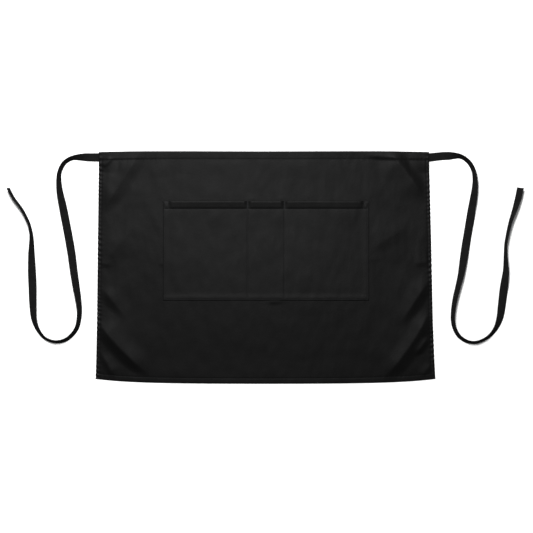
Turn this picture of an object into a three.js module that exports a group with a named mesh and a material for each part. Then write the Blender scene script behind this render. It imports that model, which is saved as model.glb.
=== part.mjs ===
// Waist apron with a divided pocket and two sewn ties, lying flat with its pocket side up.
// Sizes are in millimetres. +X runs to the right of the apron as it is seen from above, +Y towards the
// waistband and +Z up. The origin is the middle of the panel's outline, on the surface under the apron.

import * as THREE from "three";

const { clamp, degToRad, lerp, smoothstep } = THREE.MathUtils;

// Cloth: one layer of twill, and the air between two layers that lie on each other
const CLOTH = 1.0;
const GAP = 0.3;

// Panel outline: widest along the bottom hem, with sides that draw in towards the waist
const PANEL_WIDTH = 711;
const PANEL_HEIGHT = 487;
const TOP_INSET_LEFT = 7;
const TOP_INSET_RIGHT = 13.6;
const WAIST_DROP = 2.1; // how far the ends of the waist edge lie below its highest places
const CORNER_RISE = 10.4; // how far the lower corners draw up
const CORNER_REACH = 78; // length of hem over which that draw fades

// Flaps: the cloth turned under along each edge
const WAIST_FLAP = 19.5;
const HEM_FLAP = 13;
const SIDE_FLAP = 8;
const LAYER_RUN = 12; // length over which the panel comes down from a flap or from a tie's end

// Pocket: one patch, sewn to the panel on three sides and along two dividers
const POCKET_WIDTH = 431;
const POCKET_HEIGHT = 208;
const POCKET_FROM_WAIST = 104.5;
const POCKET_SHIFT = 1; // how far right of the panel's middle it is sewn
const CENTRE_POCKET = 77;
const MOUTH_FLAP = 15;
const SEAM_SEAT = 3; // flat strip beside each seam
const SIDE_GAPE = 7; // how far the mouths of the two side pockets stand open
const CENTRE_GAPE = 6;

// Ties: long folded and stitched tapes
const TIE_WIDTH = 17.2;
const TIE_THICKNESS = 2;
const TIE_CHAMFER = 0.5;
const TIE_TUCK = 18; // length sewn in between the panel and the waist flap
const TIE_INSET = 2.3; // from the waist edge to the tie's upper edge
const TIE_LEDGE = 2; // how far past the panel's side the tie stays at the height of its seam
const TIE_LANDING = 18; // distance past the panel's side at which it has come down

// Folds: low ridges that run in from the corners and the sides
const FOLD_HEIGHT = 8;
const FOLD_REACH = 30; // from a ridge's crest to its foot
const FOLD_TAPER = 0.4; // share of a ridge's reach that it loses where it has faded out
const EDGE_CALM = 0.85; // share of a fold's height that is left at the stitched edge
const EDGE_RUN = 25; // distance from the edge over which a fold gains its full height
const POCKET_CALM = 24; // distance outside the pocket's seams over which folds die out

// Facets
const FINE_STEP = 13.5;
const COARSE_STEP = 46;
const FOLD_ZONE = 150; // width of the finely stepped strip along each side
const POCKET_STEP = 16;
const TIE_SUBSTEPS = 2;
const LEAST_STEP = 0.6;

// How the sides draw in: share of the height up the side, and share of the inset at the waist
const SIDE_LINE = [
  { up: 0, inset: 0 },
  { up: 0.08, inset: 0.16 },
  { up: 0.25, inset: 0.4 },
  { up: 0.45, inset: 0.55 },
  { up: 0.62, inset: 0.67 },
  { up: 0.8, inset: 0.83 },
  { up: 1, inset: 1 },
];
const WAIST_HUMP = 0.55; // place of the waist edge's two highest places, as a share of half its width

// One ridge a row. Crest ends are shares of half the panel's width and height, the reaches of the slopes to
// the left and right of the crest are shares of FOLD_REACH, height is a share of FOLD_HEIGHT, the fades are
// shares of the crest's length, and the bow is how far the crest's middle bends to its left, in FOLD_REACH.
const FOLDS = [
  {
    fromX: -0.97, fromY: -0.16, toX: -0.8, toY: -0.47, reachLeft: 1.1, reachRight: 0.62,
    height: 0.16, fadeIn: 0.35, fadeOut: 0.6, bow: 0,
  },
  {
    fromX: -0.97, fromY: -0.16, toX: -0.8, toY: -0.47, reachLeft: 4, reachRight: 0.62,
    height: 0.12, fadeIn: 0.35, fadeOut: 0.6, bow: 0,
  },
  {
    fromX: -1, fromY: -0.445, toX: -0.67, toY: -0.94, reachLeft: 1.25, reachRight: 0.72,
    height: 0.27, fadeIn: 0.25, fadeOut: 0.35, bow: -0.2,
  },
  {
    fromX: -1, fromY: -0.445, toX: -0.67, toY: -0.94, reachLeft: 4.5, reachRight: 0.72,
    height: 0.33, fadeIn: 0.25, fadeOut: 0.35, bow: -0.2,
  },
  {
    fromX: 0.985, fromY: -0.06, toX: 0.775, toY: -0.52, reachLeft: 0.72, reachRight: 1.3,
    height: 0.12, fadeIn: 0.35, fadeOut: 0.5, bow: 0,
  },
  {
    fromX: 0.985, fromY: -0.06, toX: 0.775, toY: -0.52, reachLeft: 0.72, reachRight: 4,
    height: 0.34, fadeIn: 0.35, fadeOut: 0.5, bow: 0,
  },
  {
    fromX: 0.97, fromY: -0.36, toX: 0.685, toY: -0.97, reachLeft: 0.85, reachRight: 0.85,
    height: 0.2, fadeIn: 0.25, fadeOut: 0.3, bow: 0.26,
  },
  {
    fromX: 0.97, fromY: -0.36, toX: 0.685, toY: -0.97, reachLeft: 1, reachRight: 4,
    height: 0.42, fadeIn: 0.25, fadeOut: 0.3, bow: 0.26,
  },
  {
    fromX: -0.68, fromY: 1.13, toX: -0.98, toY: 0.44, reachLeft: 0.9, reachRight: 2,
    height: 0.3, fadeIn: 0.45, fadeOut: 0.3, bow: 0,
  },
  {
    fromX: -0.74, fromY: 0.42, toX: -0.98, toY: -0.02, reachLeft: 1.2, reachRight: 2,
    height: 0.2, fadeIn: 0.6, fadeOut: 0.35, bow: 0,
  },
  {
    fromX: 0.72, fromY: 1.02, toX: 0.97, toY: 0.53, reachLeft: 0.62, reachRight: 1.2,
    height: 0.46, fadeIn: 0.3, fadeOut: 0.3, bow: 0,
  },
  {
    fromX: 0.58, fromY: 0.12, toX: 0.86, toY: 0.38, reachLeft: 3, reachRight: 0.8,
    height: 0.14, fadeIn: 0.4, fadeOut: 0.45, bow: 0,
  },
];

// Routes of the two ties from the panel's side to the free end: distance out from the side, distance down
// from the line in which the tie is sewn, and how far the tape has rolled over about its own length.
const LEFT_ROUTE = [
  { out: 21, down: 0, roll: 0 },
  { out: 31, down: 0, roll: -28 },
  { out: 42, down: 0.5, roll: -47 },
  { out: 52.5, down: 1.5, roll: -63 },
  { out: 63, down: 5.5, roll: -69 },
  { out: 73, down: 14, roll: -69 },
  { out: 81, down: 30.5, roll: -69 },
  { out: 82.8, down: 47.5, roll: -62 },
  { out: 81.5, down: 68, roll: -50 },
  { out: 78.7, down: 85, roll: -36 },
  { out: 75.3, down: 102, roll: -24 },
  { out: 69.2, down: 135, roll: -9 },
  { out: 62.8, down: 169, roll: -6 },
  { out: 57, down: 202, roll: -16 },
  { out: 52.3, down: 236, roll: -28 },
  { out: 47.2, down: 269, roll: -38 },
  { out: 41.6, down: 303, roll: -53 },
  { out: 39.8, down: 328, roll: -62 },
  { out: 43.9, down: 353, roll: -66 },
  { out: 52.6, down: 368, roll: -67 },
  { out: 67, down: 380.5, roll: -67 },
  { out: 83.8, down: 385.4, roll: -67 },
  { out: 99.5, down: 383.8, roll: -66 },
  { out: 115.2, down: 375.3, roll: -62 },
  { out: 128, down: 357.5, roll: -52 },
  { out: 135.3, down: 336, roll: -37 },
  { out: 137.9, down: 303, roll: -16 },
  { out: 138.8, down: 269, roll: 2 },
  { out: 139.6, down: 236, roll: 26 },
  { out: 140, down: 202, roll: 49 },
  { out: 139.6, down: 169, roll: 72 },
  { out: 141.9, down: 152, roll: 78 },
  { out: 146.9, down: 135, roll: 80 },
  { out: 159.5, down: 110, roll: 80 },
  { out: 177.8, down: 85, roll: 79 },
  { out: 188.5, down: 64.7, roll: 79 },
];
const RIGHT_ROUTE = [
  { out: 27.5, down: -2.5, roll: 5 },
  { out: 40, down: -2.8, roll: 16 },
  { out: 52.5, down: -2.8, roll: 44 },
  { out: 64, down: -1.5, roll: 64 },
  { out: 74, down: 3.5, roll: 69 },
  { out: 84.5, down: 13.5, roll: 69 },
  { out: 92.2, down: 29, roll: 69 },
  { out: 95.2, down: 48, roll: 62 },
  { out: 94.5, down: 68, roll: 50 },
  { out: 92, down: 88, roll: 36 },
  { out: 88.5, down: 110, roll: 25 },
  { out: 83.5, down: 144, roll: 8 },
  { out: 77.9, down: 177, roll: 7 },
  { out: 72.1, down: 210.5, roll: 27 },
  { out: 66.3, down: 244, roll: 46 },
  { out: 60.1, down: 269, roll: 57 },
  { out: 53.8, down: 294, roll: 62 },
  { out: 49.5, down: 319.5, roll: 67 },
  { out: 48.8, down: 341, roll: 69 },
  { out: 53, down: 359, roll: 69 },
  { out: 62.5, down: 374.5, roll: 68 },
  { out: 77.6, down: 384.5, roll: 68 },
  { out: 94, down: 387, roll: 67 },
  { out: 109.5, down: 383, roll: 64 },
  { out: 125, down: 373.5, roll: 59 },
  { out: 138.5, down: 357.5, roll: 47 },
  { out: 147.5, down: 336, roll: 24 },
  { out: 152, down: 311, roll: 4 },
  { out: 154.8, down: 286, roll: -6 },
  { out: 157.3, down: 261, roll: -33 },
  { out: 159.6, down: 236, roll: -56 },
  { out: 158.9, down: 206, roll: -74 },
  { out: 159.2, down: 183, roll: -80 },
  { out: 163, down: 160.5, roll: -79 },
  { out: 169.2, down: 135, roll: -74 },
  { out: 178, down: 110, roll: -62 },
  { out: 185.6, down: 85, roll: -49 },
  { out: 190.2, down: 64, roll: -44 },
];

// Colours and finishes from the photographed apron
const TWILL = { color: 0x1c1e1e, roughness: 0.85, metalness: 0 };
const TAPE = { color: 0x1a1c1c, roughness: 0.8, metalness: 0 };

// Height of a layer step at a distance from the edge: whole on the flap, then down over LAYER_RUN
function step(distance, flap) {
  return 1 - smoothstep(distance, flap, flap + LAYER_RUN);
}

function insetShare(up) {
  const next = Math.max(1, SIDE_LINE.findIndex((row) => row.up >= up));
  const low = SIDE_LINE[next - 1];
  const high = SIDE_LINE[next];
  return lerp(low.inset, high.inset, (up - low.up) / (high.up - low.up));
}

// The panel's outline, at a distance across from its left side and up from its hem
function outlinePoint(across, up) {
  const inset = insetShare(clamp(up / PANEL_HEIGHT, 0, 1));
  const left = -PANEL_WIDTH / 2 + TOP_INSET_LEFT * inset;
  const right = PANEL_WIDTH / 2 - TOP_INSET_RIGHT * inset;
  const side = (2 * across) / PANEL_WIDTH - 1;
  const hump = (side ** 2 - WAIST_HUMP ** 2) / (1 - WAIST_HUMP ** 2);
  const top = PANEL_HEIGHT / 2 - WAIST_DROP * hump ** 2;
  const corner = Math.min(across, PANEL_WIDTH - across);
  const bottom = -PANEL_HEIGHT / 2 + CORNER_RISE * Math.exp(-corner / CORNER_REACH);
  return new THREE.Vector2(lerp(left, right, across / PANEL_WIDTH), lerp(bottom, top, up / PANEL_HEIGHT));
}

const POCKET = {
  left: POCKET_SHIFT - POCKET_WIDTH / 2,
  right: POCKET_SHIFT + POCKET_WIDTH / 2,
  top: PANEL_HEIGHT / 2 - POCKET_FROM_WAIST,
  bottom: PANEL_HEIGHT / 2 - POCKET_FROM_WAIST - POCKET_HEIGHT,
};

// 0 on the pocket, 1 well away from it
function pocketFree(x, y) {
  const dx = Math.max(POCKET.left - x, x - POCKET.right, 0);
  const dy = Math.max(POCKET.bottom - y, y - POCKET.top, 0);
  return smoothstep(Math.hypot(dx, dy), LEAST_STEP, POCKET_CALM);
}

// 1 where a tie's end is sewn in, 0 away from it
const SEAT_LENGTH = TIE_TUCK + TIE_LEDGE;
const SEAT_DEPTH = TIE_INSET + TIE_WIDTH + TIE_LEDGE;
function tieSeat(across, up) {
  const side = Math.min(across, PANEL_WIDTH - across);
  return step(side, SEAT_LENGTH) * step(PANEL_HEIGHT - up, SEAT_DEPTH);
}

const CRESTS = FOLDS.map((fold) => {
  const half = new THREE.Vector2(PANEL_WIDTH / 2, PANEL_HEIGHT / 2);
  const from = new THREE.Vector2(fold.fromX, fold.fromY).multiply(half);
  const run = new THREE.Vector2(fold.toX, fold.toY).multiply(half).sub(from);
  return { ...fold, from, length: run.length(), along: run.normalize() };
});

// Height of the lowest layer above the surface
function foldHeight(across, up) {
  const point = outlinePoint(across, up);
  let height = 0;
  for (const crest of CRESTS) {
    const offset = point.clone().sub(crest.from);
    const share = offset.dot(crest.along) / crest.length;
    if (share <= 0 || share >= 1) continue;
    const fade = smoothstep(share, 0, crest.fadeIn) * (1 - smoothstep(share, 1 - crest.fadeOut, 1));
    const leftward = crest.along.cross(offset) / FOLD_REACH - 4 * crest.bow * share * (1 - share);
    const reach = (leftward > 0 ? crest.reachLeft : crest.reachRight) * (1 - FOLD_TAPER * (1 - fade));
    const aside = Math.min(Math.abs(leftward) / reach, 1);
    height += crest.height * fade * (1 - aside) ** 2 * (1 + aside);
  }
  const edge = Math.min(across, PANEL_WIDTH - across, up, PANEL_HEIGHT - up);
  const edgeShare = lerp(EDGE_CALM, 1, smoothstep(edge, 0, EDGE_RUN));
  const seatShare = 1 - tieSeat(across, up);
  return FOLD_HEIGHT * height * edgeShare * seatShare * pocketFree(point.x, point.y);
}

// How far the panel lies above the lowest layer: over the flaps, and higher over a tie's end
function panelLift(across, up) {
  const side = Math.min(across, PANEL_WIDTH - across);
  const flaps = Math.max(step(side, SIDE_FLAP), step(up, HEM_FLAP), step(PANEL_HEIGHT - up, WAIST_FLAP));
  const overFlap = (CLOTH + GAP) * flaps;
  const overTie = (CLOTH + TIE_THICKNESS + 2 * GAP) * tieSeat(across, up);
  return Math.max(overFlap, overTie);
}

// Marks in rising order, with even steps between them that are no longer than the longest allowed
function stations(marks, longest) {
  const sorted = [...marks].sort((a, b) => a - b);
  const found = [sorted[0]];
  for (const mark of sorted.slice(1)) {
    const start = found[found.length - 1];
    const span = mark - start;
    if (span < LEAST_STEP) continue;
    const count = Math.ceil(span / longest);
    for (let k = 1; k <= count; k += 1) found.push(start + (span * k) / count);
  }
  return found;
}

// A closed sheet over a grid. face(across, up) gives the place in plan and the heights of both faces, and
// risesRight(across, up) says which way the facets of a square are split.
function sheetGeometry(columns, rows, face, risesRight) {
  const positions = [];
  for (const side of ["low", "high"]) {
    for (const across of columns) {
      for (const up of rows) {
        const { plan, ...heights } = face(across, up);
        positions.push(plan.x, plan.y, heights[side]);
      }
    }
  }
  const layer = columns.length * rows.length;
  const at = (i, j, high) => i * rows.length + j + (high ? layer : 0);
  const index = [];
  for (let i = 0; i + 1 < columns.length; i += 1) {
    for (let j = 0; j + 1 < rows.length; j += 1) {
      const right = risesRight((columns[i] + columns[i + 1]) / 2, (rows[j] + rows[j + 1]) / 2);
      for (const high of [true, false]) {
        const a = at(i, j, high);
        const b = at(i + 1, j, high);
        const c = at(i + 1, j + 1, high);
        const d = at(i, j + 1, high);
        const facets = right ? [[a, b, c], [a, c, d]] : [[a, b, d], [b, c, d]];
        for (const facet of facets) index.push(...(high ? facet : facet.reverse()));
      }
    }
  }
  const wall = (from, to) => {
    index.push(from, to, to + layer, from, to + layer, from + layer);
  };
  const lastColumn = columns.length - 1;
  const lastRow = rows.length - 1;
  for (let i = 0; i < lastColumn; i += 1) {
    wall(at(i, 0), at(i + 1, 0));
    wall(at(i + 1, lastRow), at(i, lastRow));
  }
  for (let j = 0; j < lastRow; j += 1) {
    wall(at(0, j + 1), at(0, j));
    wall(at(lastColumn, j), at(lastColumn, j + 1));
  }
  return closedGeometry(positions, index);
}

function closedGeometry(positions, index) {
  const geometry = new THREE.BufferGeometry();
  geometry.setAttribute("position", new THREE.Float32BufferAttribute(positions, 3));
  geometry.setIndex(index);
  geometry.computeVertexNormals();
  return geometry;
}

function cloth(name, geometry, finish) {
  const mesh = new THREE.Mesh(geometry, new THREE.MeshStandardMaterial(finish));
  mesh.name = name;
  return mesh;
}

// Facets follow the folds: they rise to the right in the lower right and upper left quarters
function splitPanel(across, up) {
  return (across - PANEL_WIDTH / 2) * (up - PANEL_HEIGHT / 2) < 0;
}

const SIDE_MARKS = [0, SIDE_FLAP, SIDE_FLAP + LAYER_RUN, SEAT_LENGTH, SEAT_LENGTH + LAYER_RUN, FOLD_ZONE];
const LEFT_COLUMNS = stations(SIDE_MARKS, FINE_STEP);
const PANEL_COLUMNS = [
  ...LEFT_COLUMNS,
  ...stations([FOLD_ZONE, PANEL_WIDTH - FOLD_ZONE], COARSE_STEP).slice(1, -1),
  ...LEFT_COLUMNS.map((across) => PANEL_WIDTH - across).reverse(),
];
const FLAP_ROWS = stations(
  [HEM_FLAP, HEM_FLAP + LAYER_RUN, PANEL_HEIGHT - SEAT_DEPTH - LAYER_RUN, PANEL_HEIGHT - WAIST_FLAP],
  FINE_STEP,
);
const PANEL_ROWS = [0, ...FLAP_ROWS, PANEL_HEIGHT];

function panelFace(across, up) {
  const low = foldHeight(across, up) + panelLift(across, up);
  return { plan: outlinePoint(across, up), low, high: low + CLOTH };
}

function flapFace(across, up) {
  const low = foldHeight(across, up);
  return { plan: outlinePoint(across, up), low, high: low + CLOTH };
}

function makePanel() {
  return cloth("main_panel", sheetGeometry(PANEL_COLUMNS, PANEL_ROWS, panelFace, splitPanel), TWILL);
}

function makeFlap(name, columns, rows) {
  return cloth(name, sheetGeometry(columns, rows, flapFace, splitPanel), TWILL);
}

function makeFlaps() {
  const sideRows = [HEM_FLAP + GAP, ...FLAP_ROWS.slice(1, -1), PANEL_HEIGHT - WAIST_FLAP - GAP];
  return [
    makeFlap("waistband", PANEL_COLUMNS, [PANEL_HEIGHT - WAIST_FLAP, PANEL_HEIGHT]),
    makeFlap("bottom_hem", PANEL_COLUMNS, [0, HEM_FLAP]),
    makeFlap("side_hem_left", [0, SIDE_FLAP], sideRows),
    makeFlap("side_hem_right", [PANEL_WIDTH - SIDE_FLAP, PANEL_WIDTH], sideRows),
  ];
}

// The three pockets side by side, as distances from the patch's left edge
const SIDE_POCKET = (POCKET_WIDTH - CENTRE_POCKET) / 2;
const POCKETS = [
  { start: 0, end: SIDE_POCKET, gape: SIDE_GAPE },
  { start: SIDE_POCKET, end: SIDE_POCKET + CENTRE_POCKET, gape: CENTRE_GAPE },
  { start: SIDE_POCKET + CENTRE_POCKET, end: POCKET_WIDTH, gape: SIDE_GAPE },
];

// How far the patch stands off the panel: an arch between the seams that opens towards the mouth
function gapeHeight(across, up) {
  const pocket = POCKETS.find(({ end }) => across <= end) ?? POCKETS[POCKETS.length - 1];
  const clear = pocket.end - pocket.start - 2 * SEAM_SEAT;
  const share = clamp((across - pocket.start - SEAM_SEAT) / clear, 0, 1);
  const rise = clamp((up - SEAM_SEAT) / (POCKET_HEIGHT - SEAM_SEAT), 0, 1);
  return pocket.gape * Math.sin(Math.PI * share) * Math.sin((Math.PI / 2) * rise);
}

function pocketFace(across, up) {
  const overFlap = (CLOTH + GAP) * step(POCKET_HEIGHT - up, MOUTH_FLAP);
  const low = CLOTH + GAP + gapeHeight(across, up) + overFlap;
  const plan = new THREE.Vector2(POCKET.left + across, POCKET.bottom + up);
  return { plan, low, high: low + CLOTH };
}

function mouthFlapFace(across, up) {
  const patch = pocketFace(across, up);
  return { plan: patch.plan, low: patch.low - GAP - CLOTH, high: patch.low - GAP };
}

function makePocket() {
  const marks = POCKETS.flatMap(({ start, end }) => [start, start + SEAM_SEAT, end - SEAM_SEAT, end]);
  const columns = stations(marks, POCKET_STEP);
  const flapRow = POCKET_HEIGHT - MOUTH_FLAP;
  const rows = stations([0, SEAM_SEAT, flapRow - LAYER_RUN, flapRow], POCKET_STEP);
  const split = (across, up) => across < POCKET_WIDTH / 2;
  const patch = sheetGeometry(columns, [...rows, POCKET_HEIGHT], pocketFace, split);
  const flap = sheetGeometry(columns, [flapRow, POCKET_HEIGHT], mouthFlapFace, split);
  return [cloth("pocket_panel", patch, TWILL), cloth("pocket_mouth_hem", flap, TWILL)];
}

// The tape's section, round its middle: width across, thickness up, with its four corners taken off
const TIE_SECTION = [1, -1].flatMap((end) => {
  const wide = (TIE_WIDTH / 2) * end;
  const thick = (TIE_THICKNESS / 2) * end;
  const cut = TIE_CHAMFER * end;
  return [
    { wide, thick: -thick + cut },
    { wide, thick: thick - cut },
    { wide: wide - cut, thick },
    { wide: -wide + cut, thick },
  ];
});

// A tape lofted through its sections. Its lowest edge stays on the surface, apart from the stretch by the
// waistband, which is sewn in above the flap.
function tieGeometry(route, side) {
  const across = side < 0 ? 0 : PANEL_WIDTH;
  const sewnUp = PANEL_HEIGHT - TIE_INSET - TIE_WIDTH / 2;
  const exit = new THREE.Vector2(outlinePoint(across, sewnUp).x, outlinePoint(across, PANEL_HEIGHT).y);
  exit.y -= TIE_INSET + TIE_WIDTH / 2;
  const sewn = [-TIE_TUCK, -TIE_TUCK / 2, 0, TIE_LEDGE].map((out) => ({ out, down: 0, roll: 0 }));
  const points = [...sewn, ...route].map(
    ({ out, down, roll }) => new THREE.Vector3(exit.x + side * out, exit.y - down, roll),
  );
  // The third coordinate of this curve is the roll
  const curve = new THREE.CatmullRomCurve3(points, false, "catmullrom", 0.5);
  const sections = (points.length - 1) * TIE_SUBSTEPS;
  const positions = [];
  for (let k = 0; k <= sections; k += 1) {
    const middle = curve.getPoint(k / sections);
    const heading = curve.getTangent(k / sections).setZ(0).normalize();
    const leftward = new THREE.Vector3(-heading.y, heading.x, 0);
    const roll = degToRad(middle.z);
    const out = (middle.x - exit.x) * side;
    const seam = (CLOTH + GAP) * (1 - smoothstep(out, TIE_LEDGE, TIE_LANDING));
    const ring = TIE_SECTION.map(({ wide, thick }) => {
      const aside = wide * Math.cos(roll) - thick * Math.sin(roll);
      return { aside, rise: wide * Math.sin(roll) + thick * Math.cos(roll) };
    });
    const lowest = Math.min(...ring.map(({ rise }) => rise));
    for (const { aside, rise } of ring) {
      positions.push(middle.x + leftward.x * aside, middle.y + leftward.y * aside, rise - lowest + seam);
    }
  }
  return closedGeometry(positions, loftIndex(sections + 1, TIE_SECTION.length));
}

// Facets of a loft: the skin between each ring and the next, and a fan over each end
function loftIndex(rings, sides) {
  const index = [];
  for (let ring = 0; ring + 1 < rings; ring += 1) {
    for (let k = 0; k < sides; k += 1) {
      const a = ring * sides + k;
      const b = ring * sides + ((k + 1) % sides);
      index.push(a, b, b + sides, a, b + sides, a + sides);
    }
  }
  const last = (rings - 1) * sides;
  for (let k = 1; k + 1 < sides; k += 1) {
    index.push(0, k + 1, k);
    index.push(last, last + k, last + k + 1);
  }
  return index;
}

function makeTies() {
  return [
    cloth("tie_left", tieGeometry(LEFT_ROUTE, -1), TAPE),
    cloth("tie_right", tieGeometry(RIGHT_ROUTE, 1), TAPE),
  ];
}

const apron = new THREE.Group();
apron.add(makePanel(), ...makeFlaps(), ...makePocket(), ...makeTies());

export default apron;
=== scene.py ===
"""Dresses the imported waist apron: black twill, turned hems, a divided patch pocket, seams and two ties.

Cloth is worked out in millimetres on its own plane, across from the left side and up from the lower edge,
and written into each mesh in metres in the frame's own axes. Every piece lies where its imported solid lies.
"""

import logging
import math
from dataclasses import dataclass
from enum import Enum
from typing import Any, Callable, Sequence

import bpy
import numpy as np
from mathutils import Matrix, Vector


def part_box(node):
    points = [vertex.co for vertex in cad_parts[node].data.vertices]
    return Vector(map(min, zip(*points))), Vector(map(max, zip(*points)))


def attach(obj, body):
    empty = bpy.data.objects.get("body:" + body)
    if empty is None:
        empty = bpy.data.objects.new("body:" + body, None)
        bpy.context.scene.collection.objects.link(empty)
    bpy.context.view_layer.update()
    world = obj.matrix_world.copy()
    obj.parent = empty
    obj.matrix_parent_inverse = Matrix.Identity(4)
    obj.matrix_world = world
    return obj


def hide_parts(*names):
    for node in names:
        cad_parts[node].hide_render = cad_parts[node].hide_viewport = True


Array = np.ndarray
Place = tuple[Array, Array, Array]
Line = tuple[tuple[float, float], tuple[float, float]]
Piece = bpy.types.Object
Socket = bpy.types.NodeSocket

LOG = logging.getLogger("waist_apron")
MM = 0.001
UPWARD = np.array([0.0, 0.0, 1.0])

# Where meshes have lines: shares of a rolled edge's radius, and distances from a seam in millimetres
ROLL_SHARES = (0, 0.06, 0.22, 0.5, 1)
SEAM_OFFSETS = (-1.2, -0.6, 0, 0.6, 1.2)

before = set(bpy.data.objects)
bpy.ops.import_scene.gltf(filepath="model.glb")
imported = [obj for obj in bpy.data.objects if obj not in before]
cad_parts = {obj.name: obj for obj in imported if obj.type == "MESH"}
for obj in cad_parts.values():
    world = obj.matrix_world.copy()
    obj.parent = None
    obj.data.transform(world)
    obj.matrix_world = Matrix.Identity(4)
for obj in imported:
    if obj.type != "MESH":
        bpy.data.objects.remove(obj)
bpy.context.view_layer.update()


def smoothstep(value: Array, low: float, high: float) -> Array:
    """Ease from 0 at low to 1 at high.

    Args:
        value: The numbers to ease.
        low: Where the rise starts.
        high: Where the rise ends.

    Returns:
        The eased numbers, from 0 to 1.
    """
    share = np.clip((value - low) / (high - low), 0.0, 1.0)
    return share * share * (3.0 - 2.0 * share)


def falling(value: Array, start: float, run: float) -> Array:
    """Ease from 1 at start to 0 a run beyond it."""
    return 1 - smoothstep(value, start, start + run)


def groove(distance: Array, width: float) -> Array:
    """Bell shape round a line: 1 on it, and all but 0 at a distance of its width."""
    return np.exp(-((2.0 * distance / width) ** 2))


def rounding(distance: Array, radius: float) -> Array:
    """Quarter circle that rises from 0 at an edge to 1 at a distance of its radius."""
    return np.sqrt(1 - (1 - np.clip(distance / radius, 0, 1)) ** 2)


def swells(x: Array, y: Array) -> Array:
    """Broad low unevenness of cloth that has been folded and shaken out.

    Args:
        x: X of each point in millimetres.
        y: Y of each point.

    Returns:
        Height in millimetres, above or below the even cloth.
    """
    wide = np.sin(x / 41 + 0.7 * np.sin(y / 57)) * np.sin(y / 47 + 1.3 + 0.8 * np.sin(x / 71))
    close = np.sin(x / 15.5 + y / 29 + 2.0) * np.sin(y / 13.5 - x / 37 + 0.5)
    return 0.28 * wide + 0.07 * close


def stations(marks: Sequence[float], longest: float) -> Array:
    """Marks in rising order, with even steps between them.

    Args:
        marks: Places that have to be in the list.
        longest: The longest step allowed.

    Returns:
        The marks and the steps between them.
    """
    found = [marks[0]]
    for mark in marks[1:]:
        count = max(1, math.ceil((mark - found[-1]) / longest))
        found.extend(np.linspace(found[-1], mark, count + 1)[1:])
    return np.array(found)


def edge_marks(roll: float, seam: float, offsets: Sequence[float] = SEAM_OFFSETS) -> list[float]:
    """Distances from an edge where the mesh needs a line: over its roll and beside its seam."""
    return [*(share * roll for share in ROLL_SHARES), *(seam + offset for offset in offsets)]


class Side(Enum):
    """Which side of the apron a piece is on, as seen from above."""

    LEFT = -1
    RIGHT = 1


@dataclass(frozen=True)
class Fold:
    """One low ridge in the cloth, as a crest with a slope on either side.

    Attributes:
        start: Where the crest starts, as shares of half the panel's width and height.
        end: Where the crest ends, in the same shares.
        reach: Distances from the crest to the feet of its left and right slopes, as seen along it, as
            shares of the usual reach.
        height: Height of the crest, as a share of the usual height.
        fades: Shares of the crest over which it rises at its start and falls at its end.
        bow: How far the crest's middle bends to its left, as a share of the usual reach.
    """

    start: tuple[float, float]
    end: tuple[float, float]
    reach: tuple[float, float]
    height: float
    fades: tuple[float, float]
    bow: float = 0.0


CORNER_FOLDS = (
    Fold((-0.97, -0.16), (-0.8, -0.47), (1.1, 0.62), 0.16, (0.35, 0.6)),
    Fold((-0.97, -0.16), (-0.8, -0.47), (4.0, 0.62), 0.12, (0.35, 0.6)),
    Fold((-1.0, -0.445), (-0.67, -0.94), (1.25, 0.72), 0.31, (0.25, 0.35), -0.2),
    Fold((-1.0, -0.445), (-0.67, -0.94), (3.6, 0.72), 0.29, (0.25, 0.35), -0.2),
    Fold((0.985, -0.06), (0.775, -0.52), (0.72, 1.3), 0.19, (0.35, 0.5)),
    Fold((0.985, -0.06), (0.775, -0.52), (0.72, 3.2), 0.27, (0.35, 0.5)),
    Fold((0.97, -0.36), (0.685, -0.97), (0.85, 0.95), 0.27, (0.25, 0.3), 0.26),
    Fold((0.97, -0.36), (0.685, -0.97), (1.0, 3.2), 0.35, (0.25, 0.3), 0.26),
    Fold((-0.68, 1.13), (-0.98, 0.44), (0.9, 2.0), 0.4, (0.45, 0.3)),
    Fold((-0.74, 0.42), (-0.98, -0.02), (1.2, 2.0), 0.2, (0.6, 0.35)),
    Fold((0.712, 1.02), (0.95, 0.56), (0.85, 1.8), 0.54, (0.3, 0.4), 0.1),
    Fold((0.58, 0.12), (0.86, 0.38), (3.0, 0.8), 0.14, (0.4, 0.45)),
)

SMALL_CREASES = (
    Fold((-0.98, -0.7), (-0.885, -0.95), (0.7, 0.42), 0.22, (0.5, 0.3)),
    Fold((0.965, -0.585), (0.88, -0.76), (0.4, 0.45), 0.3, (0.35, 0.35)),
    Fold((0.975, -0.83), (0.915, -0.94), (0.33, 0.55), 0.12, (0.3, 0.3)),
    Fold((-0.965, 0.86), (-0.895, 0.945), (0.35, 0.3), 0.16, (0.3, 0.3)),
    Fold((0.0, -0.292), (0.105, -0.292), (0.3, 0.3), 0.1, (0.35, 0.35)),
    Fold((-0.1, 0.585), (-0.06, 0.6), (0.42, 0.42), 0.07, (0.4, 0.4)),
    Fold((0.07, 0.6), (0.11, 0.585), (0.42, 0.42), 0.07, (0.4, 0.4)),
    Fold((-0.64, 0.035), (-0.575, 0.03), (0.45, 0.3), 0.05, (0.4, 0.4)),
    Fold((0.46, 0.05), (0.74, 0.09), (1.6, 0.6), 0.07, (0.4, 0.4)),
    Fold((-0.975, 0.04), (-0.9, 0.02), (0.6, 0.35), 0.09, (0.2, 0.4)),
    Fold((0.87, 0.03), (0.965, 0.05), (1.5, 0.4), 0.12, (0.4, 0.2)),
    Fold((0.57, 0.965), (0.84, 0.935), (0.9, 0.32), 0.18, (0.35, 0.3)),
)


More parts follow.
